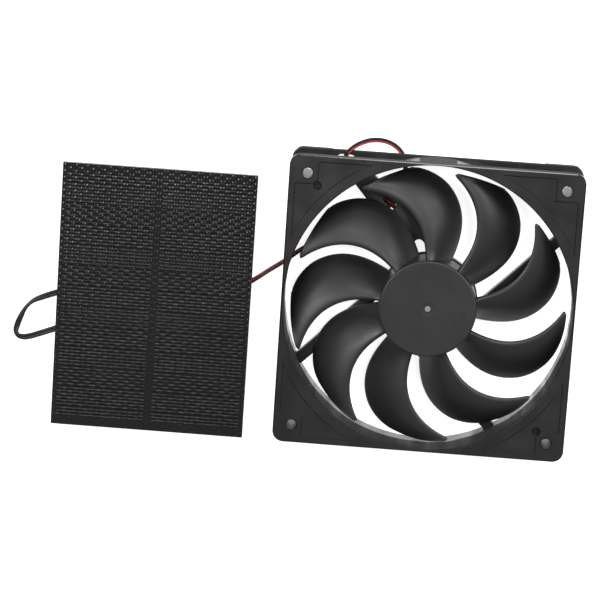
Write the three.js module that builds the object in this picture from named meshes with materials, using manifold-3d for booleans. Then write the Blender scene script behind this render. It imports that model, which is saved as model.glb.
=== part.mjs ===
// A solar attic fan: a 120 mm square axial fan lying beside the small solar panel that drives it.
// Millimetres, +Z up. Both items lie face up on the plane z = 0, and the origin is at the bottom
// centre of the whole, so the fan is on the +X side and the panel is on the -X side.

import * as THREE from 'three';
import { mergeVertices } from 'three/addons/utils/BufferGeometryUtils.js';
import Module from 'manifold-3d';

// ---------------------------------------------------------------- driving dimensions

const FAN_SIDE = 120;
const FAN_DEPTH = 25;
const PANEL_WIDTH = 81;
const PANEL_HEIGHT = 111.5;
const GAP_FAN_TO_PANEL = 13.5;
const PANEL_SET_BACK = 9.1; // the panel's centre lies this far below the fan's, along -Y

// fan frame
const CORNER_RADIUS = 4.5;
const FLANGE_THICKNESS = 4.5;
const FOOT_HEIGHT = 1.6; // the four back corner pads stand proud of the back flange
const FOOT_SIDE = 16;
const DUCT_RADIUS = 59.2;
const DUCT_OUTER_RADIUS = FAN_SIDE / 2;
const SCREW_SPACING = 105;
const SCREW_HOLE_RADIUS = 2.15;
const SCREW_BOSS_RADIUS = 4.2; // tubes round the screw holes, from one flange to the other
const FACE_RECESS = 0.3; // shallow panels sunk in the front face between rim, pads and duct ring
const RIM_WIDTH = 2.8;
const CORNER_PAD_SIDE = 11.5;
const DUCT_RING_RADIUS = 63;
const DIMPLE_RADIUS = 1.75;
const DIMPLE_DEPTH = 3.8;
const DIMPLE_PLACE = { x: 48.2, y: -47.6 }; // from the fan's centre, with a second one opposite

// struts and motor base
const STRUT_TOP = 6;
const STRUT_WIDTH = 4.5;
const STRUT_LENGTH = 43; // in plan, from the duct into the motor base
const STRUT_ROOT = 1.5; // how far a strut also runs back into the duct's wall
const STRUT_RIM_ANGLES = [29.3, 208.8, 299.5]; // degrees, where each plain strut meets the duct
const STRUT_SWEEP = 16; // degrees between a strut and the radius through its rim end
const CHANNEL_RIM_ANGLE = 121.8; // the fourth strut is a channel that carries the wires
const CHANNEL_SWEEP = 9.2;
const CHANNEL_WIDTH = 8.4;
const CHANNEL_BOW = 3.4; // how far one of its sides bows out, at two thirds of its length
const CHANNEL_WALL = 1;
const CHANNEL_INTO_BASE = 4; // how far the space for the wires runs on into the motor base
const CHANNEL_ROOF = 4.6; // height of the roof over the wires, which are held from below

// Places in the channel: start and end are distances from the duct, and the offset and the hook's
// root and tip are distances towards the bowed side from the line between its ends.
const WINDOWS = [
  { start: 12.8, end: 19.6, offset: 2.6, width: 3.2 },
  { start: 35.2, end: 45, offset: 1.7, width: 4.2 },
];
const HOOKS = [
  { place: 15.8, root: 7, tip: 0.6, width: 5.4 },
  { place: 37.8, root: -3.6, tip: -1, width: 2.4 },
];
const HOOK_THICKNESS = 0.7;
const BASE_RADIUS = 20.5;
const BASE_TOP = 6.2;
const BASE_FLOOR = 2.6;
const BASE_POCKET_RADIUS = 18.4;
const TUBE_SOCKET_WALL = 0.9;
const TUBE_SOCKET_TOP = 3.6;
const LABEL_RADIUS = 18;
const LABEL_THICKNESS = 0.2;

// lead hole through the back flange, measured from the fan's centre
const LEAD_HOLE = { x: -37.9, y: 56.5, length: 7.4, width: 3.6 };
const LEAD_GROOVE_WIDTH = 4.8;
const LEAD_GROOVE_START = 2.6; // distance from the duct, in the channel
const LEAD_GROOVE_ROOF = 3.6;

// rotor
const HUB_RADIUS = 20;
const HUB_BOTTOM = 7;
const HUB_TOP = 24.2;
const HUB_WALL = 1.6;
const HUB_EDGE = 0.8;
const BLADE_COUNT = 9;
const BLADE_TIP_RADIUS = 56.4;
const BLADE_FRONT = 20.6; // height of the leading edge
const BLADE_BACK = 8.2; // height of the trailing edge
const BLADE_CAMBER = 1.8; // power of the fall from one to the other
const BLADE_ROOT_THICKNESS = 2.2;
const BLADE_TIP_THICKNESS = 1.3;
const TRAILING_CORNER = { span: 0.2, angle: 5.2 }; // rounds the trailing edge into the tip
const LEADING_CORNER = { span: 0.05, angle: 3 };
const BLADE_SPAN_STEPS = 7;
const BLADE_CHORD_STEPS = 5;

// motor internals
const SHAFT_RADIUS = 1.5;
const BEARING_RADIUS = 4;
const BEARING_BORE = 1.8;
const BEARING_HEIGHT = 4;
const TUBE_RADIUS = 5.1;
const TUBE_TOP = 20.4;
const YOKE_RADIUS = 18.1;
const YOKE_WALL = 1;
const YOKE_TOP = 22.4;
const MAGNET_RADIUS = 16.8;
const MAGNET_WALL = 1.8;
const STATOR_RADIUS = 14.4;
const STATOR_BORE = 5.4;
const STATOR_LOW = 10.5;
const STATOR_HIGH = 17.5;
const STATOR_HUB_WALL = 1.1;
const POLES = 4;
const POLE_SHOE_THICKNESS = 2.2;
const POLE_SHOE_HALF_ANGLE = 36; // degrees
const BOBBIN_HEIGHT = 1.8;
const BOBBIN_FLANGE = { start: 11.2, end: 12, halfWidth: 4.4 };
const POLE_HALF_WIDTH = 2;
const COIL_BUILD = 1; // thickness of the winding above and below a pole
const COIL_SIDE_BUILD = 2.3;
const COIL_START = 6.8;
const COIL_LENGTH = 3.8;
const BOARD_RADIUS = 17.4;
const BOARD_BORE = 5.6;
const BOARD_LOW = 4.1;
const BOARD_HIGH = 5;
const SENSOR = { start: 14.6, length: 2, width: 3, height: 1.3, angle: 45 };
const CHIP = { x: -10.5, y: -7, length: 5, width: 4, height: 1.5 };
const LOWER_BEARING_BOTTOM = 4.4;
const UPPER_BEARING_BOTTOM = 15.4;
const SHAFT_BOTTOM = 3;
const YOKE_BOTTOM = 7.4;
const MAGNET_BOTTOM = 8;
const MAGNET_TOP = 20.5;
const CLIP = { radius: 3, low: 3.6, high: 4, opening: 80 }; // the ring that holds the shaft in
const SPRING = { radius: 2.5, wire: 0.35, turns: 2, stepsPerTurn: 12, low: 19.75, high: 21.05 };

// panel, upward from its underside
const PANEL_UNDERSIDE = 2;
const BACKBOARD_THICKNESS = 1.2;
const ENCAPSULANT_THICKNESS = 0.8;
const SHEET_THICKNESS = 0.5;
const CELL_THICKNESS = 0.2;
const CELL_ROWS = 12;
const CELL_PITCH = 8.66;
const CELL_HEIGHT = 8.3;
const CELL_WIDTH = 36.8;
const CENTRE_BAND = 3.6; // the plain strip between the two columns of cells
const RIBBON_WIDTH = 1.6;
const RIBBON_THICKNESS = 0.15;
const RIBBON_Y = CELL_ROWS * CELL_PITCH / 2 + 1.6;
const RIBBONS = [
  { name: 'ribbon_top', centre: [0, RIBBON_Y], length: 64 },
  { name: 'ribbon_pos', centre: [-18, -RIBBON_Y], length: 28 },
  { name: 'ribbon_neg', centre: [18, -RIBBON_Y], length: 28 },
];
const POCKET_MARGIN = 0.12; // between a cell or ribbon and the encapsulant round it
const GLUE_RADIUS = 5;
const GLUE_PLACE = { x: -6, y: 9.5 }; // from the panel's centre

// leads
const WIRE_DIAMETER = 1;
const WIRE_SPREAD = 0.6; // half the distance between the red wire and the black one
const TWIN_DIAMETER = 1.6;
const SLEEVE_DIAMETER = 1.8;
const SLEEVE_LENGTH = 12;
const SLEEVE_SPREAD = 1.02; // half the distance between the two sleeves

const CLEARANCE = 0.3; // between pieces that would otherwise touch on a curved face
const OVERCUT = 1; // how far a cutting solid runs past the face that it opens
const ROUND = 72; // sides of the duct, and fewer on what is smaller

const TOTAL_LENGTH = PANEL_WIDTH + GAP_FAN_TO_PANEL + FAN_SIDE;
const FAN_X = (TOTAL_LENGTH - FAN_SIDE) / 2;
const PANEL_X = (PANEL_WIDTH - TOTAL_LENGTH) / 2;
const FAN_Y = (PANEL_SET_BACK + PANEL_HEIGHT / 2 - FAN_SIDE / 2) / 2;
const PANEL_Y = FAN_Y - PANEL_SET_BACK;
const BACKBOARD_TOP = PANEL_UNDERSIDE + BACKBOARD_THICKNESS;
const ENCAPSULANT_TOP = BACKBOARD_TOP + ENCAPSULANT_THICKNESS;

// ---------------------------------------------------------------- geometry helpers

const wasm = await Module();
wasm.setup();

function solid(geometry) {
  const bare = geometry.index ? geometry.toNonIndexed() : geometry.clone();
  bare.deleteAttribute('normal');
  bare.deleteAttribute('uv');
  const merged = mergeVertices(bare, 1e-4);
  return new wasm.Manifold(new wasm.Mesh({
    numProp: 3,
    vertProperties: new Float32Array(merged.attributes.position.array),
    triVerts: new Uint32Array(merged.index.array),
  }));
}

function surface(manifold) {
  const mesh = manifold.getMesh();
  const geometry = new THREE.BufferGeometry();
  geometry.setAttribute('position', new THREE.BufferAttribute(mesh.vertProperties, 3));
  geometry.setIndex(new THREE.BufferAttribute(mesh.triVerts, 1));
  geometry.computeVertexNormals();
  return geometry;
}

function extrude(shape, low, high, curveSegments = 8) {
  const options = { depth: high - low, bevelEnabled: false, curveSegments };
  return new THREE.ExtrudeGeometry(shape, options).translate(0, 0, low);
}

function box(x0, x1, y0, y1, z0, z1) {
  const geometry = new THREE.BoxGeometry(x1 - x0, y1 - y0, z1 - z0);
  return geometry.translate((x0 + x1) / 2, (y0 + y1) / 2, (z0 + z1) / 2);
}

// A solid of revolution about Z. The profile is a list of [radius, height] pairs, which runs up
// the outside and back down the inside.
function turned(profile, segments) {
  const points = profile.map(([radius, height]) => new THREE.Vector2(radius, height));
  return new THREE.LatheGeometry(points, segments).rotateX(Math.PI / 2);
}

function disc(radius, low, high, segments = 24) {
  return turned([[0, low], [radius, low], [radius, high], [0, high]], segments);
}

function ring(outer, inner, low, high, segments = 24) {
  return turned([[inner, low], [outer, low], [outer, high], [inner, high], [inner, low]], segments);
}

function roundedSquare(side, radius) {
  const reach = side / 2 - radius;
  const shape = new THREE.Shape();
  for (let quarter = 0; quarter < 4; quarter++) {
    const start = quarter * Math.PI / 2;
    const x = reach * Math.SQRT2 * Math.cos(start + Math.PI / 4);
    const y = reach * Math.SQRT2 * Math.sin(start + Math.PI / 4);
    shape.absarc(x, y, radius, start, start + Math.PI / 2, false);
  }
  return shape.closePath();
}

// A slab between two radii and two angles, in degrees.
function sector(inner, outer, from, to, low, high) {
  const start = THREE.MathUtils.degToRad(from);
  const end = THREE.MathUtils.degToRad(to);
  const shape = new THREE.Shape();
  shape.absarc(0, 0, outer, start, end, false);
  shape.absarc(0, 0, inner, end, start, true);
  return extrude(shape.closePath(), low, high, 4);
}

// A straight bar from one point in plan to another.
function bar(from, to, width, low, high) {
  const run = new THREE.Vector2().subVectors(to, from);
  const geometry = box(0, run.length(), -width / 2, width / 2, low, high);
  return geometry.rotateZ(run.angle()).translate(from.x, from.y, 0);
}

function polar(radius, degrees) {
  const angle = THREE.MathUtils.degToRad(degrees);
  return new THREE.Vector2(Math.cos(angle), Math.sin(angle)).multiplyScalar(radius);
}

function roundSection(diameter) {
  const sides = 8;
  const points = [];
  for (let i = 0; i < sides; i++) {
    points.push(polar(diameter / 2, (i + 0.5) * 360 / sides));
  }
  return new THREE.Shape(points);
}

function tube(points, diameter, steps) {
  const path = new THREE.CatmullRomCurve3(points.map((p) => new THREE.Vector3(...p)));
  const options = { steps, bevelEnabled: false, extrudePath: path };
  return new THREE.ExtrudeGeometry(roundSection(diameter), options);
}

function union(solids) {
  return solids.reduce((sum, next) => sum.add(next));
}

// ---------------------------------------------------------------- materials

function plastic(color, roughness) {
  return new THREE.MeshStandardMaterial({ color, roughness, metalness: 0 });
}

function metal(color, roughness) {
  return new THREE.MeshStandardMaterial({ color, roughness, metalness: 1 });
}

const BLACK_PLASTIC = plastic(0x2a2a2c, 0.55);
const BOBBIN_PLASTIC = plastic(0xd8d4c6, 0.6);
const MAGNET_RUBBER = plastic(0x2b2624, 0.8);
const BOARD_GREEN = plastic(0x1d5a34, 0.5);
const BLACK_BOARD = plastic(0x151516, 0.6);
const LABEL_FILM = plastic(0x9a9a9c, 0.5);
const CHIP_BLACK = plastic(0x141414, 0.5);
const EPOXY_CLEAR = plastic(0x20222a, 0.3);
const CELL_SILICON = plastic(0x0d0f18, 0.25);
const SHEET_PLASTIC = plastic(0x17171a, 0.4);
const GLUE = plastic(0xe6e2d2, 0.45);
const RED_WIRE = plastic(0x8a1c18, 0.45);
const BLACK_WIRE = plastic(0x161414, 0.45);
const STEEL = metal(0xb8babd, 0.3);
const YOKE_STEEL = metal(0x8d9094, 0.4);
const CORE_STEEL = metal(0x6f7175, 0.5);
const BRASS = metal(0xb9954a, 0.35);
const COPPER = metal(0xb4622d, 0.35);
const TINNED_COPPER = metal(0xb5b7ba, 0.35);

function place(parent, name, geometry, material) {
  const mesh = new THREE.Mesh(geometry, material);
  mesh.name = name;
  parent.add(mesh);
  return mesh;
}

// ---------------------------------------------------------------- fan frame

function frontRecesses() {
  const inset = FAN_SIDE / 2 - RIM_WIDTH;
  const padEdge = FAN_SIDE / 2 - CORNER_PAD_SIDE;
  const low = FAN_DEPTH - FACE_RECESS;
  const high = FAN_DEPTH + OVERCUT;
  let sunk = solid(box(-inset, inset, -inset, inset, low, high));
  sunk = sunk.subtract(solid(disc(DUCT_RING_RADIUS, low - OVERCUT, high + OVERCUT, ROUND)));
  for (const [sx, sy] of [[1, 1], [-1, 1], [-1, -1], [1, -1]]) {
    const xs = [sx * padEdge, sx * FAN_SIDE].sort((a, b) => a - b);
    const ys = [sy * padEdge, sy * FAN_SIDE].sort((a, b) => a - b);
    sunk = sunk.subtract(solid(box(...xs, ...ys, low - OVERCUT, high + OVERCUT)));
  }
  return sunk;
}

// A point in plan, at a distance from the duct along a strut's middle line and an offset from it.
function strutPoint(rimAngle, sweep, distance, offset = 0) {
  const heading = rimAngle + 180 + sweep;
  return polar(DUCT_RADIUS, rimAngle).add(polar(distance, heading)).add(polar(offset, heading + 90));
}

function plainStrut(rimAngle) {
  const root = strutPoint(rimAngle, STRUT_SWEEP, -STRUT_ROOT);
  return bar(root, strutPoint(rimAngle, STRUT_SWEEP, STRUT_LENGTH), STRUT_WIDTH, FOOT_HEIGHT, STRUT_TOP);
}

function channelPoint(distance, offset) {
  return strutPoint(CHANNEL_RIM_ANGLE, CHANNEL_SWEEP, distance, offset);
}

// How far out the channel's bowed side stands. The cubic is 1 at its highest, at two thirds.
function bow(distance) {
  const share = THREE.MathUtils.clamp(distance / STRUT_LENGTH, 0, 1);
  return CHANNEL_BOW * 6.75 * share ** 2 * (1 - share);
}

// The channel, or the space in it, with one side straight and the other bowed.
function channelBar(inset, start, end, low, high) {
  const half = CHANNEL_WIDTH / 2 - inset;
  const steps = 10;
  const points = [channelPoint(start, -half), channelPoint(end, -half)];
  for (let i = 0; i <= steps; i++) {
    const distance = THREE.MathUtils.lerp(end, start, i / steps);
    points.push(channelPoint(distance, half + bow(distance)));
  }
  return extrude(new THREE.Shape(points), low, high);
}

// A slot with round ends, between two points in plan.
function slot(from, to, width, low, high) {
  const run = new THREE.Vector2().subVectors(to, from);
  const reach = run.length() / 2 - width / 2;
  const shape = new THREE.Shape();
  shape.absarc(reach, 0, width / 2, -Math.PI / 2, Math.PI / 2, false);
  shape.absarc(-reach, 0, width / 2, Math.PI / 2, 1.5 * Math.PI, false);
  const geometry = extrude(shape.closePath(), low, high, 4).rotateZ(run.angle());
  return geometry.translate((from.x + to.x) / 2, (from.y + to.y) / 2, 0);
}

function wireChannel() {
  let channel = solid(channelBar(0, -STRUT_ROOT, STRUT_LENGTH, FOOT_HEIGHT, STRUT_TOP));
  for (const { start, end, offset, width } of WINDOWS) {
    const window = slot(channelPoint(start, offset), channelPoint(end, offset), width, 0, FAN_DEPTH);
    channel = channel.subtract(solid(window));
  }
  return channel;
}

// The space for the wires, open below: from the motor base to the duct, and on to the lead hole.
function wireSpace() {
  const low = FOOT_HEIGHT - OVERCUT;
  const hole = new THREE.Vector2(LEAD_HOLE.x, LEAD_HOLE.y);
  const along = new THREE.Vector2(LEAD_HOLE.length / 2, 0);
  const ends = [hole.clone().sub(along), hole.clone().add(along)];
  return union([
    solid(channelBar(CHANNEL_WALL, 0, STRUT_LENGTH + CHANNEL_INTO_BASE, low, CHANNEL_ROOF)),
    solid(bar(channelPoint(LEAD_GROOVE_START, 0), hole, LEAD_GROOVE_WIDTH, low, LEAD_GROOVE_ROOF)),
    solid(slot(...ends, LEAD_HOLE.width, -OVERCUT, FLANGE_THICKNESS + OVERCUT)),
  ]);
}

function hook({ place: distance, root, tip, width }) {
  const top = FOOT_HEIGHT + HOOK_THICKNESS;
  return bar(channelPoint(distance, root), channelPoint(distance, tip), width, FOOT_HEIGHT, top);
}

function fanFrame() {
  const outline = roundedSquare(FAN_SIDE, CORNER_RADIUS);
  const between = FAN_SIDE / 2 - FOOT_SIDE;
  const feet = solid(extrude(outline, 0, FOOT_HEIGHT + OVERCUT, 4)).subtract(union([
    solid(box(-FAN_SIDE, FAN_SIDE, -between, between, -OVERCUT, FAN_DEPTH)),
    solid(box(-between, between, -FAN_SIDE, FAN_SIDE, -OVERCUT, FAN_DEPTH)),
  ]));
  let frame = union([
    solid(extrude(outline, FAN_DEPTH - FLANGE_THICKNESS, FAN_DEPTH, 4)),
    solid(extrude(outline, FOOT_HEIGHT, FLANGE_THICKNESS, 4)),
    solid(disc(DUCT_OUTER_RADIUS, FOOT_HEIGHT, FAN_DEPTH, ROUND)),
    feet,
  ]);
  frame = frame.subtract(solid(disc(DUCT_RADIUS, -OVERCUT, FAN_DEPTH + OVERCUT, ROUND)));
  frame = frame.subtract(frontRecesses());

  const half = SCREW_SPACING / 2;
  for (const [x, y] of [[half, half], [-half, half], [-half, -half], [half, -half]]) {
    const boss = disc(SCREW_BOSS_RADIUS, FOOT_HEIGHT + OVERCUT, FAN_DEPTH - OVERCUT, 20);
    const hole = disc(SCREW_HOLE_RADIUS, -OVERCUT, FAN_DEPTH + OVERCUT, 16);
    frame = frame.add(solid(boss.translate(x, y, 0))).subtract(solid(hole.translate(x, y, 0)));
  }
  for (const side of [-1, 1]) {
    const dimple = disc(DIMPLE_RADIUS, FAN_DEPTH - DIMPLE_DEPTH, FAN_DEPTH + OVERCUT, 12);
    frame = frame.subtract(solid(dimple.translate(side * DIMPLE_PLACE.x, side * DIMPLE_PLACE.y, 0)));
  }

  const struts = union([wireChannel(), ...STRUT_RIM_ANGLES.map((angle) => solid(plainStrut(angle)))]);
  frame = union([
    frame,
    struts.intersect(solid(disc(DUCT_OUTER_RADIUS, 0, FAN_DEPTH, ROUND))),
    solid(disc(BASE_RADIUS, FOOT_HEIGHT, BASE_TOP, 36)),
  ]);
  frame = frame.subtract(solid(disc(BASE_POCKET_RADIUS, BASE_FLOOR, FAN_DEPTH, 36)));
  frame = frame.subtract(wireSpace());
  const socket = TUBE_RADIUS + CLEARANCE;
  frame = union([
    frame,
    solid(ring(socket + TUBE_SOCKET_WALL, socket, FOOT_HEIGHT, TUBE_SOCKET_TOP)),
    ...HOOKS.map((each) => solid(hook(each))),
  ]);
  return surface(frame);
}

// ---------------------------------------------------------------- impeller

// How far round the axis a blade's edge turns in, where it rounds into the tip. The share is 0 at
// the hub and 1 at the tip.
function cornerTurn(share, { span, angle }) {
  const corner = Math.max(0, 1 - (1 - share) / span);
  return angle * (1 - Math.sqrt(1 - corner ** 2));
}

// Angles in degrees of the two edges of the blade whose root is nearest to 40 degrees.
function leadingAngle(share) {
  return 56.3 + 28.2 * share ** 2.18 - cornerTurn(share, LEADING_CORNER);
}

function trailingAngle(share) {
  return 23.9 + 12 * share + 18.8 * share ** 3 + cornerTurn(share, TRAILING_CORNER);
}

function bladeSolid(spanSteps, chordSteps) {
  const positions = [];
  const index = [];
  const rootRadius = HUB_RADIUS - HUB_WALL / 2;
  const columns = chordSteps + 1;
  const layer = (spanSteps + 1) * columns;
  for (const side of [1, -1]) {
    for (let i = 0; i <= spanSteps; i++) {
      const share = Math.sin(i / spanSteps * Math.PI / 2); // closer together towards the tip
      const radius = THREE.MathUtils.lerp(rootRadius, BLADE_TIP_RADIUS, share);
      const thickness = THREE.MathUtils.lerp(BLADE_ROOT_THICKNESS, BLADE_TIP_THICKNESS, share);
      const lead = leadingAngle(share);
      const trail = trailingAngle(share);
      const pitch = Math.atan2(BLADE_FRONT - BLADE_BACK, radius * THREE.MathUtils.degToRad(lead - trail));
      for (let j = 0; j <= chordSteps; j++) {
        const chord = j / chordSteps;
        const section = 0.35 + 0.65 * Math.sin(Math.PI * Math.min(1, chord * 0.9 + 0.1));
        const lift = side * section * thickness / 2 / Math.cos(pitch);
        const camber = BLADE_FRONT - (BLADE_FRONT - BLADE_BACK) * chord ** BLADE_CAMBER;
        const p = polar(radius, THREE.MathUtils.lerp(lead, trail, chord));
        positions.push(p.x, p.y, camber + lift);
      }
    }
  }
  const quad = (a, b, c, d) => index.push(a, b, c, a, c, d);
  for (let i = 0; i < spanSteps; i++) {
    for (let j = 0; j < chordSteps; j++) {
      const a = i * columns + j;
      quad(a, a + 1, a + columns + 1, a + columns);
      quad(layer + a, layer + a + columns, layer + a + columns + 1, layer + a + 1);
    }
  }
  for (let i = 0; i < spanSteps; i++) {
    const front = i * columns;
    const back = front + chordSteps;
    quad(front, front + columns, layer + front + columns, layer + front);
    quad(back, layer + back, layer + back + columns, back + columns);
  }
  const tip = spanSteps * columns;
  for (let j = 0; j < chordSteps; j++) {
    quad(j, layer + j, layer + j + 1, j + 1);
    quad(tip + j, tip + j + 1, layer + tip + j + 1, layer + tip + j);
  }
  const geometry = new THREE.BufferGeometry();
  geometry.setAttribute('position', new THREE.Float32BufferAttribute(positions, 3));
  geometry.setIndex(index);
  return geometry;
}

function impeller() {
  const inner = HUB_RADIUS - HUB_WALL;
  const ceiling = YOKE_TOP + CLEARANCE;
  const hub = turned([
    [0, ceiling], [inner, ceiling], [inner, HUB_BOTTOM], [HUB_RADIUS, HUB_BOTTOM],
    [HUB_RADIUS, HUB_TOP - HUB_EDGE], [HUB_RADIUS - HUB_EDGE, HUB_TOP], [0, HUB_TOP],
  ], 54);
  const blade = bladeSolid(BLADE_SPAN_STEPS, BLADE_CHORD_STEPS);
  const pieces = [solid(hub)];
  for (let i = 0; i < BLADE_COUNT; i++) {
    pieces.push(solid(blade.clone().rotateZ(i * 2 * Math.PI / BLADE_COUNT)));
  }
  return surface(union(pieces));
}

// ---------------------------------------------------------------- motor

function bearing(low) {
  return ring(BEARING_RADIUS, BEARING_BORE, low, low + BEARING_HEIGHT);
}

function yoke() {
  const inner = YOKE_RADIUS - YOKE_WALL;
  const ceiling = YOKE_TOP - YOKE_WALL;
  return turned([
    [inner, YOKE_BOTTOM], [YOKE_RADIUS, YOKE_BOTTOM], [YOKE_RADIUS, YOKE_TOP],
    [BEARING_BORE, YOKE_TOP], [BEARING_BORE, ceiling], [inner, ceiling], [inner, YOKE_BOTTOM],
  ], ROUND / 2);
}

function preloadSpring() {
  const steps = SPRING.turns * SPRING.stepsPerTurn;
  const points = [];
  for (let i = 0; i <= steps; i++) {
    const p = polar(SPRING.radius, i * 360 / SPRING.stepsPerTurn);
    points.push([p.x, p.y, THREE.MathUtils.lerp(SPRING.low, SPRING.high, i / steps)]);
  }
  return tube(points, SPRING.wire, steps);
}

// The angle that each pole is turned through.
function poleTurns() {
  return Array.from({ length: POLES }, (_, pole) => pole * 2 * Math.PI / POLES);
}

// One slice of the stator: a hub ring, an arm for each pole and the piece at the arm's end.
function poleSlice(low, high, armEnd, endPiece) {
  const armStart = STATOR_BORE + STATOR_HUB_WALL / 2;
  const arm = box(armStart, armEnd, -POLE_HALF_WIDTH, POLE_HALF_WIDTH, low, high);
  const slices = [solid(ring(STATOR_BORE + STATOR_HUB_WALL, STATOR_BORE, low, high))];
  for (const turn of poleTurns()) {
    slices.push(solid(arm.clone().rotateZ(turn)));
    slices.push(solid(endPiece.clone().rotateZ(turn)));
  }
  return surface(union(slices));
}

function statorCore() {
  const inner = STATOR_RADIUS - POLE_SHOE_THICKNESS;
  const half = POLE_SHOE_HALF_ANGLE;
  const shoe = sector(inner, STATOR_RADIUS, -half, half, STATOR_LOW, STATOR_HIGH);
  return poleSlice(STATOR_LOW, STATOR_HIGH, (inner + STATOR_RADIUS) / 2, shoe);
}

function bobbin(low) {
  const { start, end, halfWidth } = BOBBIN_FLANGE;
  const high = low + BOBBIN_HEIGHT;
  return poleSlice(low, high, (start + end) / 2, box(start, end, -halfWidth, halfWidth, low, high));
}

function coil() {
  const inner = new THREE.Vector2(
    POLE_HALF_WIDTH + CLEARANCE,
    (STATOR_HIGH - STATOR_LOW) / 2 + BOBBIN_HEIGHT + CLEARANCE,
  );
  const outer = inner.clone().add(new THREE.Vector2(COIL_SIDE_BUILD, COIL_BUILD));
  const corners = (v) => [[v.x, v.y], [-v.x, v.y], [-v.x, -v.y], [v.x, -v.y]];
  const toPoints = (list) => list.map(([x, y]) => new THREE.Vector2(x, y));
  const shape = new THREE.Shape(toPoints(corners(outer)));
  shape.holes.push(new THREE.Path(toPoints(corners(inner).reverse())));
  const geometry = extrude(shape, COIL_START, COIL_START + COIL_LENGTH);
  geometry.rotateY(Math.PI / 2).rotateX(Math.PI / 2);
  return geometry.translate(0, 0, (STATOR_LOW + STATOR_HIGH) / 2);
}

function retainingRing() {
  return sector(BEARING_BORE, CLIP.radius, CLIP.opening / 2, 360 - CLIP.opening / 2, CLIP.low, CLIP.high);
}

function addMotor(fan) {
  const underside = FOOT_HEIGHT - LABEL_THICKNESS;
  place(fan, 'rear_label', disc(LABEL_RADIUS, underside, FOOT_HEIGHT, 32), LABEL_FILM);
  const bore = BEARING_RADIUS + CLEARANCE;
  place(fan, 'bearing_tube', ring(TUBE_RADIUS, bore, BASE_FLOOR, TUBE_TOP), BRASS);
  place(fan, 'lower_bearing', bearing(LOWER_BEARING_BOTTOM), STEEL);
  place(fan, 'upper_bearing', bearing(UPPER_BEARING_BOTTOM), STEEL);
  place(fan, 'stator_core', statorCore(), CORE_STEEL);
  place(fan, 'bobbin_lower', bobbin(STATOR_LOW - BOBBIN_HEIGHT), BOBBIN_PLASTIC);
  place(fan, 'bobbin_upper', bobbin(STATOR_HIGH), BOBBIN_PLASTIC);
  poleTurns().forEach((turn, pole) => {
    place(fan, `coil_${pole + 1}`, coil(), COPPER).rotation.z = turn;
  });
  const board = ring(BOARD_RADIUS, BOARD_BORE, BOARD_LOW, BOARD_HIGH, 32);
  place(fan, 'circuit_board', board, BOARD_GREEN);
  const sensor = new THREE.BoxGeometry(SENSOR.length, SENSOR.width, SENSOR.height);
  sensor.translate(SENSOR.start + SENSOR.length / 2, 0, BOARD_HIGH + SENSOR.height / 2);
  sensor.rotateZ(THREE.MathUtils.degToRad(SENSOR.angle));
  place(fan, 'hall_sensor', sensor, CHIP_BLACK);
  const chip = new THREE.BoxGeometry(CHIP.length, CHIP.width, CHIP.height);
  place(fan, 'driver_chip', chip, CHIP_BLACK).position.set(CHIP.x, CHIP.y, BOARD_HIGH + CHIP.height / 2);
}

function addRotor(fan) {
  place(fan, 'impeller', impeller(), BLACK_PLASTIC);
  place(fan, 'rotor_yoke', yoke(), YOKE_STEEL);
  const magnetBore = MAGNET_RADIUS - MAGNET_WALL;
  const magnet = ring(MAGNET_RADIUS, magnetBore, MAGNET_BOTTOM, MAGNET_TOP, ROUND / 2);
  place(fan, 'rotor_magnet', magnet, MAGNET_RUBBER);
  place(fan, 'rotor_shaft', disc(SHAFT_RADIUS, SHAFT_BOTTOM, YOKE_TOP, 16), STEEL);
  place(fan, 'preload_spring', preloadSpring(), STEEL);
  place(fan, 'retaining_ring', retainingRing(), STEEL);
}

// ---------------------------------------------------------------- panel

// The centre of each cell, from the panel's centre.
function cellCentres() {
  const centres = [];
  for (const side of [-1, 1]) {
    for (let row = 0; row < CELL_ROWS; row++) {
      const x = side * (CENTRE_BAND + CELL_WIDTH) / 2;
      const y = ((CELL_ROWS - 1) / 2 - row) * CELL_PITCH;
      centres.push([x, y]);
    }
  }
  return centres;
}

// A flat piece on the backboard, or with a margin the pocket that the encapsulant leaves over it.
function flatPiece([x, y], width, height, thickness, margin = 0) {
  const low = BACKBOARD_TOP - (margin ? OVERCUT : 0);
  const w = width / 2 + margin;
  const h = height / 2 + margin;
  return box(x - w, x + w, y - h, y + h, low, BACKBOARD_TOP + thickness + margin);
}

// A slab of the panel's full width and height.
function panelLayer(low, high) {
  return box(-PANEL_WIDTH / 2, PANEL_WIDTH / 2, -PANEL_HEIGHT / 2, PANEL_HEIGHT / 2, low, high);
}

function encapsulant() {
  const pockets = [];
  for (const centre of cellCentres()) {
    pockets.push(solid(flatPiece(centre, CELL_WIDTH, CELL_HEIGHT, CELL_THICKNESS, POCKET_MARGIN)));
  }
  for (const { centre, length } of RIBBONS) {
    pockets.push(solid(flatPiece(centre, length, RIBBON_WIDTH, RIBBON_THICKNESS, POCKET_MARGIN)));
  }
  return surface(solid(panelLayer(BACKBOARD_TOP, ENCAPSULANT_TOP)).subtract(union(pockets)));
}

function glueBlob(radius, height) {
  const profile = [[0, PANEL_UNDERSIDE - height]];
  const rings = 5;
  for (let i = 1; i < rings; i++) {
    const angle = i * Math.PI / 2 / rings;
    profile.push([radius * Math.sin(angle), PANEL_UNDERSIDE - height * Math.cos(angle)]);
  }
  profile.push([radius, PANEL_UNDERSIDE], [0, PANEL_UNDERSIDE]);
  return turned(profile, 24);
}

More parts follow.
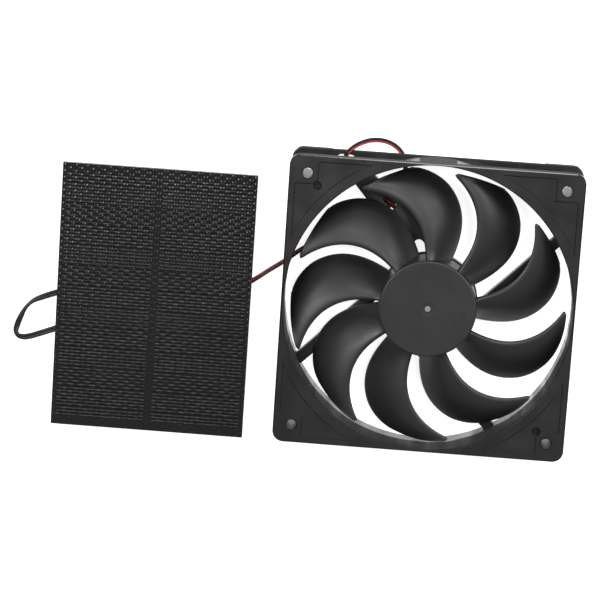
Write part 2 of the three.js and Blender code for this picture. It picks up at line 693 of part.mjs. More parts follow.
function addPanel(panel) {
  place(panel, 'backboard', panelLayer(PANEL_UNDERSIDE, BACKBOARD_TOP), BLACK_BOARD);
  place(panel, 'encapsulant', encapsulant(), EPOXY_CLEAR);
  const sheet = panelLayer(ENCAPSULANT_TOP, ENCAPSULANT_TOP + SHEET_THICKNESS);
  place(panel, 'front_sheet', sheet, SHEET_PLASTIC);
  cellCentres().forEach((centre, i) => {
    const cell = flatPiece(centre, CELL_WIDTH, CELL_HEIGHT, CELL_THICKNESS);
    place(panel, `cell_${String(i + 1).padStart(2, '0')}`, cell, CELL_SILICON);
  });
  for (const { name, centre, length } of RIBBONS) {
    place(panel, name, flatPiece(centre, length, RIBBON_WIDTH, RIBBON_THICKNESS), TINNED_COPPER);
  }
  const blob = place(panel, 'glue_blob', glueBlob(GLUE_RADIUS, PANEL_UNDERSIDE), GLUE);
  blob.position.set(GLUE_PLACE.x, GLUE_PLACE.y, 0);
}

// ---------------------------------------------------------------- leads

// Routes are lists of [x, y, z] from the fan's centre, along the middle of the red and black pair.
// A height of 0.5 has the wires lying on the table.
const FAN_LEAD_ROUTE = [
  [-38.0, 57.2, 4.6], [-37.7, 58.4, 5.6], [-36.9, 59.8, 5.9], [-35.6, 61.1, 5.3], [-33.7, 62.4, 3.8],
  [-31.2, 63.5, 2.1], [-28.4, 64.3, 0.9], [-25.2, 64.6, 0.5], [-21.7, 64.2, 0.5], [-18.5, 62.9, 0.5],
  [-16.0, 60.9, 0.5], [-14.4, 58.5, 0.5], [-13.3, 54.2, 0.5], [-13.9, 48.5, 0.5], [-16.6, 42.2, 0.5],
  [-21.5, 35.8, 0.5], [-28.2, 30.2, 0.5], [-36.5, 25.5, 0.5], [-45.2, 21.4, 0.5], [-53.1, 17.2, 0.5],
  [-61.0, 11.0, 0.5], [-67.0, 6.7, 0.5], [-72.8, 2.3, 0.5], [-78.2, -1.2, 0.6], [-83.2, -2.9, 0.8],
  [-87.6, -3.2, 0.95],
];
const SLEEVE_START = [-88, -3.2, 0.95];
const INNER_LEAD_ROUTE = [
  [-2.4, 11.9, 3.35], [-4.3, 16.2, 3.35], [-8.4, 21.4, 3.35], [-11.1, 25.4, 3.35], [-12.2, 30.1, 3.35],
  [-13.7, 34.3, 3.35], [-16.2, 37.5, 3.35], [-20.5, 40.1, 3.35], [-24.6, 43.7, 3.35], [-28.9, 47.9, 3.1],
  [-31.9, 51.2, 2.8], [-34.9, 54.1, 2.7], [-36.7, 55.4, 2.95], [-37.6, 56.3, 3.6], [-37.9, 56.85, 4.05],
];
const TWIN_FLOOR = TWIN_DIAMETER / 2;
const PANEL_LEAD_ROUTE = [
  [-125.2, 0.2], [-131, -0.9], [-139, -3.2], [-147, -6.2], [-154.8, -9.2], [-160.2, -11.3],
  [-164.6, -13.4], [-167.4, -16.2], [-169.4, -20], [-170.9, -24], [-171.4, -26.9], [-170.5, -28.7],
  [-168.3, -29.3], [-165.4, -28.8], [-161.6, -27.4], [-154.8, -24.7], [-146, -21.4], [-136, -17.6],
  [-126, -13], [-117, -8.6], [-109.4, -5], [-104.6, -3.5], [-100.4, -3.2],
];

// The route, moved sideways in plan by an offset, so that two wires run side by side.
function beside(route, offset) {
  return route.map((point, i) => {
    const before = route[Math.max(i - 1, 0)];
    const after = route[Math.min(i + 1, route.length - 1)];
    const run = new THREE.Vector2(after[0] - before[0], after[1] - before[1]).normalize();
    return [point[0] - run.y * offset, point[1] + run.x * offset, point[2]];
  });
}

function sleeve(y) {
  const geometry = disc(SLEEVE_DIAMETER / 2, 0, SLEEVE_LENGTH, 12).rotateY(-Math.PI / 2);
  return geometry.translate(SLEEVE_START[0], y, SLEEVE_START[2]);
}

function addLead(fan, colour, side, material) {
  const inner = beside(INNER_LEAD_ROUTE, side * WIRE_SPREAD);
  const free = beside(FAN_LEAD_ROUTE, side * WIRE_SPREAD);
  place(fan, `lead_${colour}_inner`, tube(inner, WIRE_DIAMETER, 22), material);
  place(fan, `lead_${colour}`, tube(free, WIRE_DIAMETER, 66), material);
  place(fan, `splice_${colour}`, sleeve(SLEEVE_START[1] - side * SLEEVE_SPREAD), BLACK_WIRE);
}

function addLeads(fan) {
  addLead(fan, 'red', -1, RED_WIRE);
  addLead(fan, 'black', 1, BLACK_WIRE);
  const twin = PANEL_LEAD_ROUTE.map(([x, y]) => [x, y, TWIN_FLOOR]);
  place(fan, 'panel_lead', tube(twin, TWIN_DIAMETER, 44), BLACK_WIRE);
}

// ---------------------------------------------------------------- assembly

const solarAtticFan = new THREE.Group();
solarAtticFan.name = 'solar_attic_fan';

const fan = new THREE.Group();
fan.position.set(FAN_X, FAN_Y, 0);
solarAtticFan.add(fan);
place(fan, 'fan_frame', fanFrame(), BLACK_PLASTIC);
addMotor(fan);
addRotor(fan);
addLeads(fan);

const panel = new THREE.Group();
panel.position.set(PANEL_X, PANEL_Y, 0);
solarAtticFan.add(panel);
addPanel(panel);

export default solarAtticFan;
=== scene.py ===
"""Looks of a solar attic fan: a 120 mm axial fan and the small solar panel that drives it."""

import math

import bmesh
import bpy
from mathutils import Matrix, Vector, noise


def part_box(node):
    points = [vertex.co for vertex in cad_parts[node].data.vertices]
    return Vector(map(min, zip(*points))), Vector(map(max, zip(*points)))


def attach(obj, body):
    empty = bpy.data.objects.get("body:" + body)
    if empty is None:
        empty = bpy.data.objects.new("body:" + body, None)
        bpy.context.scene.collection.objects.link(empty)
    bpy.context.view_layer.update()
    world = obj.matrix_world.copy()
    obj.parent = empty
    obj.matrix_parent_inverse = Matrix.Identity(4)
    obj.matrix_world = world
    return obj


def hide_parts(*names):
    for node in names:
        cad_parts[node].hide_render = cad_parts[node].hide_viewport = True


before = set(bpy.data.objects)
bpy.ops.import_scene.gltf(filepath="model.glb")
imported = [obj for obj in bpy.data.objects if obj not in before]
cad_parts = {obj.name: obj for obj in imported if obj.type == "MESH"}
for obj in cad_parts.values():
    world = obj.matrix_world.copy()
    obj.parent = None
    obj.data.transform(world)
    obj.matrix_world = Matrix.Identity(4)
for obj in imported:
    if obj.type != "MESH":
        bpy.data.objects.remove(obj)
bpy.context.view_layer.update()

# ---------------------------------------------------------------- driving sizes, in millimetres

MM = 0.001

FAN_SIDE = 120
FAN_DEPTH = 25
CORNER_RADIUS = 4.5
FLANGE = 4.5
FLANGE_EDGE = 0.35
FRONT_EDGE = 0.5
FOOT_HEIGHT = 1.6
FOOT_SIDE = 16
DUCT_RADIUS = 59.2
DUCT_OUTER = 59.9
DUCT_MOUTH = 0.5
DUCT_SEGMENTS = 240
SCREW_HALF_SPACING = 52.5
SCREW_RADIUS = 2.15
SCREW_EDGE = 0.35
SCREW_BOSS = 4.2
# The front face is sunk by the relief's depth between its rim, its corner pads and its ring.
RELIEF = 0.4
RELIEF_DRAFT = 0.5
RIM_WIDTH = 2.4
RIM_CORNER = 0.8
PAD_SIDE = 11.5
PAD_CORNER = 1.2
RING_RADIUS = 63.2
# One of two blind holes in the front face; the other stands across the axis from it.
BLIND_HOLE = (48.2, -47.6)
BLIND_HOLE_RADIUS = 1.75
BLIND_HOLE_DEPTH = 3.8

STRUT_TOP = 6
STRUT_WIDTH = 4.5
STRUT_LENGTH = 43
STRUT_ROOT = 1.5
STRUT_ANGLES = (29.3, 208.8, 299.5)
STRUT_SWEEP = 16
STRUT_EDGE = 0.35
CHANNEL_ANGLE = 121.8
CHANNEL_SWEEP = 9.2
CHANNEL_WIDTH = 8.4
# One side of the channel bows out by this much, at two thirds of its length.
CHANNEL_BOW = 3.4
CHANNEL_WALL = 1
CHANNEL_ROOF = 4.6
CHANNEL_INTO_BASE = 4
# Each window's start and end along the channel, its offset to the bowed side, and its width.
WINDOWS = ((12.8, 19.6, 2.6, 3.2), (35.2, 45, 1.7, 4.2))
# Each hook's place along the channel, the offsets of its root and its tip, and its width.
HOOKS = ((15.8, 7, 0.6, 5.4), (37.8, -3.6, -1, 2.4))
HOOK_THICKNESS = 0.7
BASE_RADIUS = 20.5
BASE_TOP = 6.2
BASE_FLOOR = 2.6
BASE_POCKET = 18.4
BASE_EDGE = 0.4
# The bearing tube's socket: its inner and outer radius, and how high it stands.
SOCKET = (5.4, 6.3, 3.6)
LEAD_HOLE = (-37.9, 56.5)
LEAD_HOLE_SIZE = (7.4, 3.6)
# The groove from the channel to the hole starts this far along the channel.
GROOVE_START = 2.6
GROOVE_WIDTH = 4.8
GROOVE_ROOF = 3.6

HUB_RADIUS = 20
HUB_WALL = 1.6
HUB_BOTTOM = 7
HUB_TOP = 24.2
HUB_CEILING = 22.7
HUB_EDGE = 0.9
HUB_CHAMFER = 0.3
# A shallow ring pressed in the hub's face: its place, and its inner and outer radius.
HUB_MARK = (14.9, -1.6)
HUB_MARK_RADII = (0.65, 1.2)
# The recess in the middle of the hub, and the torn stub of the moulding gate in it, as profiles of
# radius and height from the hub's face.
GATE_RECESS = ((3.0, 0), (2.7, -0.06), (1.5, -0.08), (1.4, -0.4), (0, -0.4))
GATE_STUB = (
    (0, -0.38), (1.15, -0.38), (1.2, -0.22), (1.0, -0.08), (0.62, -0.05),
    (0.5, -0.18), (0.22, -0.21), (0, -0.14),
)
BLADES = 9
BLADE_TIP = 56.4
BLADE_FRONT = 20.6
BLADE_BACK = 8.2
BLADE_CAMBER = 1.8
# A blade's thickness at its root and at its tip, with a fillet that adds so much to the root over
# this share of the span.
BLADE_THICKNESS = (2.2, 1.3)
BLADE_FILLET = (1.6, 1 / 9)
# Shares of the chord: the round nose, where the taper starts, and the rounding at the back.
NOSE = 0.12
TAPER_START = 0.3
TAIL = 0.02
# How much of the thickness is gone at the trailing edge.
TAPER = 0.62
# The rounding of a blade's tip: how far past its span, as a share of it, and the thickness left.
TIP_ROUNDING = ((0.0045, 0.8), (0.007, 0.45), (0.008, 0.1))
# The leading edge's angle at the root, how far it turns by the tip, and with what power.
LEADING_EDGE = (56.3, 28.2, 2.18)
# The trailing edge's angle at the root, how far it turns evenly, and with the third power.
TRAILING_EDGE = (23.9, 12, 18.8)
# Each edge rounds into the tip over this share of the span and this angle.
TRAILING_CORNER = (0.2, 5.2)
LEADING_CORNER = (0.05, 3)

CELL_PITCH = 8.66
CELL_ROWS = 12
CELL_WIDTH = 36.8
CENTRE_BAND = 3.6
FINGERS = 6
FINGER_PITCH = 1.39
FINGER_WIDTH = 0.34
# The film's dimples: the pitch of their rows and columns, and their depth.
HEX_ROW = 2.72
HEX_COLUMN = 2.36
FILM_DEPTH = 0.22
# Each round ring of a dimple: its share of the way to the hexagon's corner, and of the depth.
FILM_RINGS = ((0.7912, 0.06), (0.552, 0.62), (0.276, 0.93))

WIRE = 1.0
WIRE_SPREAD = 0.5
TWIN_HEIGHT = 1.3
# Where the flat lead turns on edge: the share of its length, the share it takes, and the angle.
TWISTS = ((0.33, 0.05, 80), (0.435, 0.022, 45))

CORNERS = ((1, 1), (-1, 1), (-1, -1), (1, -1))
SCREWS = [(sx * SCREW_HALF_SPACING, sy * SCREW_HALF_SPACING) for sx, sy in CORNERS]

fan_low, fan_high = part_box("fan_frame")
FAN = Vector(((fan_low.x + fan_high.x) / 2, (fan_low.y + fan_high.y) / 2, 0))
sheet_low, sheet_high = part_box("front_sheet")
PANEL = Vector(((sheet_low.x + sheet_high.x) / 2, (sheet_low.y + sheet_high.y) / 2, 0))

# ---------------------------------------------------------------- camera, light and floor

# The camera's place from the fan's centre, in metres, and its turn about X, Y and Z.
CAMERA_PLACE = Vector((-0.0118, 0.2198, 1.1089))
CAMERA_TURN = (-11.46, 2.09, 4.25)
CAMERA_LENS = 162.7

# The floor gives off its own light, as a light table does, so nothing on it throws a shadow.
FLOOR_GLOW = 0.85
FLOOR_REACH = 4
FLOOR_DROP = 0.0001
SKY_STRENGTH = 0.45


def make_camera():
    camera = bpy.data.objects.new("camera", bpy.data.cameras.new("camera"))
    camera.data.sensor_width = 36
    camera.data.lens = CAMERA_LENS
    camera.data.clip_start = 0.05
    camera.rotation_mode = "ZYX"
    camera.rotation_euler = [math.radians(a) for a in CAMERA_TURN]
    camera.location = FAN + CAMERA_PLACE
    bpy.context.scene.collection.objects.link(camera)
    bpy.context.scene.camera = camera


def area_light(name, place, size, power):
    light = bpy.data.lights.new(name, "AREA")
    light.shape = "RECTANGLE"
    light.size, light.size_y = size
    light.energy = power
    lamp = bpy.data.objects.new(name, light)
    lamp.location = place
    lamp.rotation_euler = (-Vector(place)).to_track_quat("-Z", "Y").to_euler()
    bpy.context.scene.collection.objects.link(lamp)


def make_light():
    """Five soft lamps, each with its place and size in metres and its power in watts, and the sky."""
    area_light("key", (0.15, 0.95, 0.85), (0.43, 0.24), 5.5)
    area_light("left", (-0.7, 0.33, 1.02), (0.27, 0.45), 10)
    area_light("right", (0.27, 0.33, 1.1), (0.2, 0.28), 4.8)
    area_light("side", (0.97, 0.48, 0.6), (0.6, 0.5), 9)
    area_light("far_side", (-0.8, 0.75, 0.6), (0.5, 0.4), 3.5)
    world = bpy.data.worlds.new("studio")
    world.use_nodes = True
    background = world.node_tree.nodes["Background"]
    background.inputs["Color"].default_value = (1, 1, 1, 1)
    background.inputs["Strength"].default_value = SKY_STRENGTH
    bpy.context.scene.world = world
    bpy.context.scene.view_settings.view_transform = "Standard"


# ---------------------------------------------------------------- material helpers


def grey(value):
    return (value, value, value, 1)


def shade(color, factor=1):
    return (*[c * factor for c in color], 1)


class Shader:
    """A material's node tree, with a principled shader and short ways to add nodes."""

    def __init__(self, name, color, roughness, metallic=0.0, specular=0.5):
        self.material = bpy.data.materials.new(name)
        self.material.use_nodes = True
        self.tree = self.material.node_tree
        self.bsdf = self.tree.nodes["Principled BSDF"]
        self.bsdf.inputs["Base Color"].default_value = color
        self.bsdf.inputs["Roughness"].default_value = roughness
        self.bsdf.inputs["Metallic"].default_value = metallic
        self.bsdf.inputs["Specular IOR Level"].default_value = specular
        self.place = self.add("ShaderNodeTexCoord").outputs["Object"]

    def add(self, kind, **settings):
        node = self.tree.nodes.new(kind)
        for key, value in settings.items():
            setattr(node, key, value)
        return node

    def plug(self, node, socket, value):
        target = node.inputs[socket]
        if isinstance(value, bpy.types.NodeSocket):
            self.tree.links.new(value, target)
        else:
            target.default_value = value

    def math(self, operation, *values):
        node = self.add("ShaderNodeMath", operation=operation)
        for index, value in enumerate(values):
            self.plug(node, index, value)
        return node.outputs[0]

    def within(self, value, low, high):
        """1 where the value lies between low and high, and 0 elsewhere."""
        above = self.math("GREATER_THAN", value, low)
        return self.math("MULTIPLY", above, self.math("LESS_THAN", value, high))

    def squares(self, u, v):
        return self.math("ADD", self.math("POWER", u, 2), self.math("POWER", v, 2))

    def axes(self):
        """The place's x, y and z, in metres in the frame."""
        split = self.add("ShaderNodeSeparateXYZ")
        self.plug(split, "Vector", self.place)
        return split.outputs

    def noise(self, scale, detail, stretch=(1, 1, 1)):
        mapping = self.add("ShaderNodeMapping")
        mapping.inputs["Scale"].default_value = stretch
        self.plug(mapping, "Vector", self.place)
        node = self.add("ShaderNodeTexNoise")
        self.plug(node, "Vector", mapping.outputs[0])
        node.inputs["Scale"].default_value = scale
        node.inputs["Detail"].default_value = detail
        return node.outputs["Fac"]

    def blend(self, factor, a, b):
        node = self.add("ShaderNodeMix", data_type="RGBA")
        self.plug(node, "Factor", factor)
        self.plug(node, 6, a)
        self.plug(node, 7, b)
        return node.outputs[2]

    def choose(self, factor, a, b):
        """The number a where the factor is 0, and b where it is 1."""
        node = self.add("ShaderNodeMix", data_type="FLOAT")
        self.plug(node, "Factor", factor)
        self.plug(node, "A", a)
        self.plug(node, "B", b)
        return node.outputs[0]

    def spread(self, factor, low, high):
        """The factor, mostly between 0.3 and 0.7, taken to between low and high."""
        node = self.add("ShaderNodeMapRange")
        self.plug(node, "Value", factor)
        node.inputs["From Min"].default_value = 0.3
        node.inputs["From Max"].default_value = 0.7
        node.inputs["To Min"].default_value = low
        node.inputs["To Max"].default_value = high
        return node.outputs[0]

    def bump(self, height, strength, distance):
        node = self.add("ShaderNodeBump")
        node.inputs["Strength"].default_value = strength
        node.inputs["Distance"].default_value = distance
        self.plug(node, "Height", height)
        self.plug(self.bsdf, "Normal", node.outputs[0])

    def color(self, value):
        self.plug(self.bsdf, "Base Color", value)

    def roughness(self, value):
        self.plug(self.bsdf, "Roughness", value)


def moulded_plastic(name, tone, roughness, grain, grain_depth=0.00003):
    """Spark-textured moulded plastic: fine grain, with faint clouds of tone and gloss."""
    shader = Shader(name, grey(tone), roughness, specular=0.35)
    clouds = shader.noise(28, 3)
    shader.color(shader.blend(shader.spread(clouds, 0, 1), grey(tone * 0.85), grey(tone * 1.2)))
    shader.roughness(shader.spread(shader.noise(90, 4), roughness - 0.06, roughness + 0.06))
    shader.bump(shader.noise(grain, 3), 0.55, grain_depth)
    return shader.material


def frame_material():
    """The frame's plastic: spark-textured on its faces, and smooth in the holes and low in the duct.

    Drawing from the mould leaves marks up the duct, handling has polished the front edge, and the
    relief's slopes are dull, and painted nearly black as shade in the steps.
    """
    tone, roughness = 0.007, 0.34
    shader = Shader("frame_plastic", grey(tone), roughness, specular=0.35)
    *plan, height = shader.axes()
    across = [
        shader.math("ABSOLUTE", shader.math("SUBTRACT", place, middle)) for place, middle in zip(plan, FAN)
    ]
    past_screw = [shader.math("SUBTRACT", place, SCREW_HALF_SPACING * MM) for place in across]
    from_axis = shader.math("SQRT", shader.squares(*across))
    from_screw = shader.math("SQRT", shader.squares(*past_screw))
    at_side = shader.math("GREATER_THAN", shader.math("MAXIMUM", *across), (FAN_SIDE / 2 - 0.6) * MM)
    at_front = shader.math("GREATER_THAN", height, (FAN_DEPTH - FRONT_EDGE) * MM)
    in_duct = shader.within(from_axis, (DUCT_RADIUS - 0.3) * MM, (DUCT_RADIUS + 0.3) * MM)
    in_hole = shader.math("LESS_THAN", from_screw, (SCREW_RADIUS + 0.4) * MM)
    on_step = shader.within(height, (FAN_DEPTH - RELIEF + 0.02) * MM, (FAN_DEPTH - 0.02) * MM)

    clouds = shader.spread(shader.noise(28, 3), 0, 1)
    tint = shader.blend(clouds, grey(tone * 0.7), grey(tone * 1.35))
    # Painted shade: the relief's sloping steps get a tenth of the face's tone, standing in for the shade
    # in the steps.
    shader.color(shader.blend(on_step, tint, grey(tone * 0.1)))

    upright = (1, 1, 0.03)
    marks = shader.spread(shader.noise(170, 2, upright), 0.08, 0.42)
    smooth_height = shader.spread(shader.noise(60, 1, upright), 8.5 * MM, 12 * MM)
    coarse = shader.math("MULTIPLY", shader.math("GREATER_THAN", height, smooth_height), 0.55)
    faces = shader.spread(shader.noise(90, 4), roughness - 0.08, roughness + 0.08)
    faces = shader.choose(on_step, faces, 0.9)
    faces = shader.choose(at_side, faces, shader.choose(at_front, 0.85, 0.16))
    faces = shader.choose(in_hole, faces, 0.2)
    shader.roughness(shader.choose(in_duct, faces, shader.math("ADD", marks, coarse)))
    shader.bump(shader.noise(2600, 3), 0.5, 0.00003)
    return shader.material


def metal(name, color, roughness, stretch=(1, 1, 1), scale=1500):
    """Drawn or turned metal, with fine marks along one direction."""
    shader = Shader(name, shade(color), roughness, metallic=1)
    marks = shader.noise(scale, 3, stretch)
    shader.roughness(shader.spread(marks, roughness * 0.8, roughness * 1.3))
    shader.color(shader.blend(marks, shade(color, 0.85), shade(color)))
    shader.bump(marks, 0.3, 0.00001)
    return shader.material


def insulation(name, color, roughness, specular):
    """Extruded wire insulation, with a faint skin texture along it."""
    shader = Shader(name, shade(color), roughness, specular=specular)
    skin = shader.noise(420, 3)
    shader.color(shader.blend(skin, shade(color, 0.75), shade(color, 1.15)))
    shader.roughness(shader.spread(shader.noise(150, 2), roughness - 0.08, roughness + 0.1))
    shader.bump(skin, 0.25, 0.00002)
    return shader.material


def board_material():
    """A printed board under green solder mask, with tracks showing through it."""
    shader = Shader("board_mask", (0.01, 0.12, 0.045, 1), 0.3)
    tracks = shader.math("GREATER_THAN", shader.noise(330, 0), 0.53)
    shader.color(shader.blend(tracks, (0.008, 0.09, 0.03, 1), (0.02, 0.2, 0.07, 1)))
    shader.bump(tracks, 0.3, 0.00003)
    return shader.material


def winding_material():
    """Close turns of enamelled copper."""
    shader = Shader("winding", (0.55, 0.2, 0.08, 1), 0.3, metallic=1)
    wave = shader.add("ShaderNodeTexWave", wave_type="BANDS", bands_direction="DIAGONAL")
    shader.plug(wave, "Vector", shader.place)
    wave.inputs["Scale"].default_value = 900
    wave.inputs["Distortion"].default_value = 0.6
    height = wave.outputs["Fac"]
    shader.color(shader.blend(height, (0.25, 0.07, 0.025, 1), (0.62, 0.25, 0.1, 1)))
    shader.bump(height, 0.7, 0.00012)
    return shader.material


def panel_material():
    """The panel's face: dark cells with fine finger lines, seen through small round lenses.

    The film magnifies what is under each of its dimples about the dimple's middle, so every
    finger line shows as a row of dashes that step from one dimple to the next.
    """
    film, cell, line_tone = grey(0.006), (0.002, 0.0022, 0.003, 1), grey(0.044)
    magnify = 0.1
    shader = Shader("panel_face", film, 0.15, specular=0.27)
    x, y = [
        shader.math("DIVIDE", shader.math("SUBTRACT", place, middle), MM)
        for place, middle in zip(shader.axes()[:2], PANEL)
    ]

    def local(value, shift, half):
        return shader.math("WRAP", shader.math("ADD", value, shift), half, -half)

    # Where a place lies from the middle of its dimple, in the even and in the odd columns.
    even = (local(x, 0, HEX_COLUMN), local(y, 0, HEX_ROW / 2))
    odd = (local(x, HEX_COLUMN, HEX_COLUMN), local(y, HEX_ROW / 2, HEX_ROW / 2))
    reach = [shader.squares(*even), shader.squares(*odd)]
    is_even = shader.math("LESS_THAN", *reach)
    from_middle = shader.choose(is_even, odd[1], even[1])
    distance = shader.math("SQRT", shader.math("MINIMUM", *reach))

    # The finger lines, as the dimple shows them.
    seen = shader.math("SUBTRACT", y, shader.math("MULTIPLY", from_middle, magnify))
    along_cell = local(seen, 0, CELL_PITCH / 2)
    across = shader.math("ABSOLUTE", local(along_cell, 0, FINGER_PITCH / 2))
    from_line = shader.math("ABSOLUTE", shader.math("SUBTRACT", across, FINGER_PITCH / 2))
    line = shader.math("SUBTRACT", 1, shader.math("DIVIDE", from_line, FINGER_WIDTH))
    line = shader.math("MULTIPLY", shader.math("MAXIMUM", line, 0), 1.6)

    side = shader.math("ABSOLUTE", x)
    on_strip = shader.math("LESS_THAN", shader.math("ABSOLUTE", along_cell), FINGERS * FINGER_PITCH / 2)
    on_column = shader.within(side, CENTRE_BAND / 2, CENTRE_BAND / 2 + CELL_WIDTH)
    on_rows = shader.math("LESS_THAN", shader.math("ABSOLUTE", y), CELL_ROWS * CELL_PITCH / 2)
    lens = shader.math("SUBTRACT", 1.1, shader.math("DIVIDE", distance, 2.4))
    wear = shader.spread(shader.noise(420, 2), 0.3, 1.15)
    for factor in (on_strip, on_column, on_rows, lens, wear):
        line = shader.math("MULTIPLY", line, factor)
    clamped = shader.add("ShaderNodeClamp")
    shader.plug(clamped, "Value", line)
    tint = shader.blend(shader.math("MULTIPLY", on_column, on_rows), film, cell)
    shader.color(shader.blend(clamped.outputs[0], tint, line_tone))
    shader.roughness(shader.spread(shader.noise(70, 3), 0.11, 0.2))
    shader.bump(shader.noise(1800, 2), 0.2, 0.00002)
    return shader.material


# ---------------------------------------------------------------- mesh helpers, in millimetres


def mesh_object(name, verts, faces):
    mesh = bpy.data.meshes.new(name)
    mesh.from_pydata([tuple(v) for v in verts], [], faces)
    build = bmesh.new()
    build.from_mesh(mesh)
    bmesh.ops.recalc_face_normals(build, faces=build.faces)
    build.to_mesh(mesh)
    build.free()
    piece = bpy.data.objects.new(name, mesh)
    bpy.context.scene.collection.objects.link(piece)
    return piece


def polar(radius, degrees):
    angle = math.radians(degrees)
    return Vector((radius * math.cos(angle), radius * math.sin(angle)))


def arc(center, radius, start, end, steps):
    return [Vector(center) + polar(radius, start + (end - start) * i / steps) for i in range(steps + 1)]


def rounded_square(side, radius, steps=10):
    reach = side / 2 - radius
    outline = []
    for quarter, (sx, sy) in enumerate(CORNERS):
        outline += arc((sx * reach, sy * reach), radius, 90 * quarter, 90 * quarter + 90, steps)
    return outline


def skin(count, rows):
    """The faces between rings of points: so many rows of them, each ring of the same count."""
    faces = []
    for i in range(rows - 1):
        for j in range(count):
            k = (j + 1) % count
            faces.append((i * count + j, i * count + k, (i + 1) * count + k, (i + 1) * count + j))
    return faces


def loft(name, rows):
    """A closed solid through rows of points, each row a ring of the same count, with flat ends."""
    count = len(rows[0])
    verts = [v for row in rows for v in row]
    ends = [tuple(range(count))[::-1], tuple(range(len(verts) - count, len(verts)))]
    return mesh_object(name, verts, ends + skin(count, len(rows)))


def prism(outline, low, high):
    return loft("tool", [[(p.x, p.y, z) for p in outline] for z in (low, high)])


def block(half_x, half_y, low, high):
    return prism([Vector((sx * half_x, sy * half_y)) for sx, sy in CORNERS], low, high)


def lathe(profile, segments, name="tool", center=(0, 0)):
    """A solid turned about Z from a closed profile of (radius, height) points."""
    verts = []
    rows = []
    for radius, height in profile:
        if radius == 0:
            rows.append([len(verts)] * segments)
            verts.append((*center, height))
            continue
        rows.append(list(range(len(verts), len(verts) + segments)))
        for i in range(segments):
            p = polar(radius, i * 360 / segments)
            verts.append((center[0] + p.x, center[1] + p.y, height))
    faces = []
    for row, following in zip(rows, rows[1:] + rows[:1]):
        for i in range(segments):
            j = (i + 1) % segments
            corners = list(dict.fromkeys((row[i], row[j], following[j], following[i])))
            if len(corners) > 2:
                faces.append(corners)
    return mesh_object(name, verts, faces)


def disc(radius, low, high, segments=48, center=(0, 0)):
    return lathe([(0, low), (radius, low), (radius, high), (0, high)], segments, center=center)


def bar(start, end, width, low, high):
    run = (end - start).normalized()
    side = Vector((-run.y, run.x)) * width / 2
    return prism([start - side, end - side, end + side, start + side], low, high)


def bake_modifiers(piece):
    """Replaces the mesh with what its modifiers make of it."""
    bpy.context.view_layer.update()
    evaluated = piece.evaluated_get(bpy.context.evaluated_depsgraph_get())
    mesh = bpy.data.meshes.new_from_object(evaluated)
    piece.modifiers.clear()
    piece.data = mesh


def combine(piece, tools, operation):
    for tool in tools:
        modifier = piece.modifiers.new("combine", "BOOLEAN")
        modifier.object = tool
        modifier.operation = operation
        modifier.solver = "EXACT"
    bake_modifiers(piece)
    for tool in tools:
        bpy.data.objects.remove(tool)


def soften(piece, width):
    modifier = piece.modifiers.new("soften", "BEVEL")
    modifier.width = width
    modifier.segments = 3
    modifier.limit_method = "ANGLE"
    modifier.angle_limit = math.radians(38)
    modifier.miter_outer = "MITER_ARC"
    bake_modifiers(piece)


def even_normals(piece):
    """Keeps large flat faces flat where they meet small sloping ones."""
    modifier = piece.modifiers.new("normals", "WEIGHTED_NORMAL")
    modifier.keep_sharp = True


def settle(piece, place, material, smooth_angle=35):
    """Takes a finished piece from millimetres about its own centre to metres in the frame."""
    piece.data.transform(Matrix.Translation(place) @ Matrix.Scale(MM, 4))
    piece.data.materials.clear()
    piece.data.materials.append(material)
    piece.data.shade_smooth()
    piece.data.set_sharp_from_angle(angle=math.radians(smooth_angle))
    return piece


# ---------------------------------------------------------------- fan frame


def strut_point(rim_angle, sweep, distance, offset=0):
    """A point in plan, at a distance from the duct along a strut's middle line."""
    heading = rim_angle + 180 + sweep
    return polar(DUCT_RADIUS, rim_angle) + polar(distance, heading) + polar(offset, heading + 90)


def channel_point(distance, offset):
    return strut_point(CHANNEL_ANGLE, CHANNEL_SWEEP, distance, offset)


def channel_bow(distance):
    """How far the channel's one side bows out. The factor makes the peak of the cubic 1."""
    share = min(1, max(0, distance / STRUT_LENGTH))
    return CHANNEL_BOW * 6.75 * share ** 2 * (1 - share)


def channel_outline(inset, start, end, steps=24):
    half = CHANNEL_WIDTH / 2 - inset
    outline = [channel_point(start, -half), channel_point(end, -half)]
    for i in range(steps + 1):
        distance = end + (start - end) * i / steps
        outline.append(channel_point(distance, half + channel_bow(distance)))
    return outline


def slot_outline(start, end, width, steps=10):
    run = (end - start).normalized()
    heading = math.degrees(math.atan2(run.y, run.x))
    reach = run * width / 2
    first = arc(end - reach, width / 2, heading - 90, heading + 90, steps)
    return first + arc(start + reach, width / 2, heading + 90, heading + 270, steps)


def rounded_slab(low, high, edge):
    """The flange's rounded square as a slab, with its outer edges rounded."""
    levels = (
        (low, edge), (low + edge * 0.37, edge * 0.3), (low + edge, 0),
        (high - edge, 0), (high - edge * 0.37, edge * 0.3), (high, edge),
    )
    rows = []
    for z, inset in levels:
        outline = rounded_square(FAN_SIDE - 2 * inset, CORNER_RADIUS - inset)
        rows.append([(p.x, p.y, z) for p in outline])
    return loft("slab", rows)


def drawn_in(outline, distance):
    """A clockwise outline drawn in towards its middle, by a distance measured square to its edges.

    A point in a sharp corner moves by 2.5 times the distance at most.
    """
    middle = sum(outline, Vector((0, 0))) / len(outline)
    drawn = []
    for index, point in enumerate(outline):
        along = (outline[(index + 1) % len(outline)] - outline[index - 1]).normalized()
        way = (middle - point).normalized()
        square = way.dot(Vector((along.y, -along.x)))
        drawn.append(point + way * distance / max(1 / 2.5, square))
    return drawn


